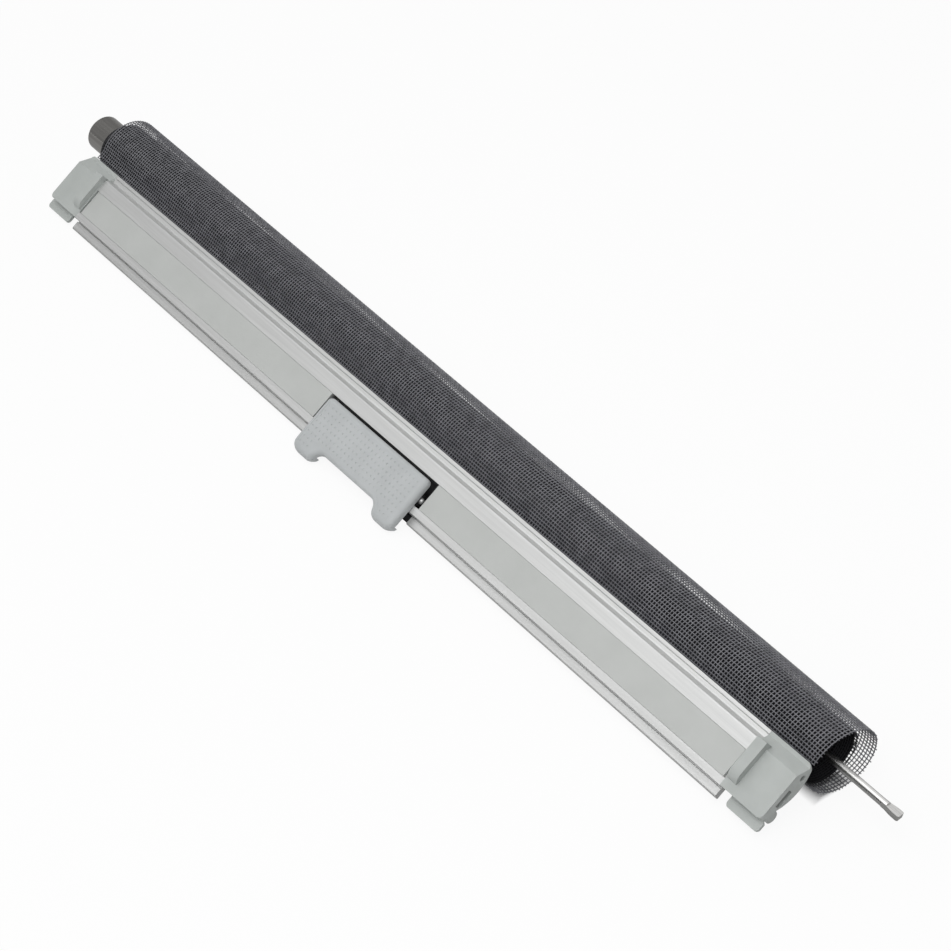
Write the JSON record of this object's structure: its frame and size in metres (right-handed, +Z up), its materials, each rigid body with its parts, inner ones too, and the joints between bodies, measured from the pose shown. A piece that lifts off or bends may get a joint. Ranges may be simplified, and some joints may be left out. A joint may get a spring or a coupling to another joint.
{
  "type": "roller insect screen",
  "caption": "Spring-roller insect screen: dark mesh on a steel tube, a slack outer turn, and a grey pull bar with moulded end caps and a rocking latch handle.",
  "frame": {"origin": "middle of the footprint, on the surface that the roll and the bar's flange lie on", "axes": "+X along the roll towards the axle's free end, +Y from the bar to the roll, +Z up"},
  "size_m": [0.554, 0.0704, 0.0321],
  "materials": {
    "mesh": "woven plastic-coated yarn",
    "steel_tube": "bright drawn",
    "steel": "bright",
    "aluminium": "satin anodised",
    "strip": "matt",
    "grey_plastic": "fine moulded grain",
    "handle_plastic": "fine moulded grain",
    "black_plastic": "matt"
  },
  "bodies": {
    "screen": {"insect_screen": "mesh", "roller_tube": "steel_tube", "pull_bar": "aluminium", "cover_strip_left": "strip", "cover_strip_right": "strip", "end_cap_left": "grey_plastic", "end_cap_right": "grey_plastic", "handle_pin": "steel", "handle_carrier": "black_plastic", "hem_keder": "black_plastic", "idle_end_bush": "black_plastic", "axle_bush": "black_plastic", "spring_anchor_plug": "black_plastic", "torsion_spring": "steel", "handle_spring_left": "steel", "handle_spring_right": "steel"},
    "axle": {"axle_rod": "steel", "winding_plug": "black_plastic", "winding_plug_pin": "steel", "axle_clip": "steel"},
    "latch": {"handle": "handle_plastic"}
  },
  "joints": [
    {"name": "axle_turn", "type": "hinge", "parent": "screen", "child": "axle", "pos_m": [-0.00646, 0.01761, 0.01494], "axis": [1, 0, 0], "range_deg": [0, 4320], "stiffness_Nm_per_rad": 0.0015, "deforming": ["torsion_spring"]},
    {"name": "handle_tilt", "type": "hinge", "parent": "screen", "child": "latch", "pos_m": [-0.00625, -0.01768, 0.01149], "axis": [-1, -0.0077, -0.0055], "range_deg": [0, 7], "stiffness_Nm_per_rad": 0.05, "springref_deg": -5.73, "deforming": ["handle_spring_left", "handle_spring_right"]}
  ]
}
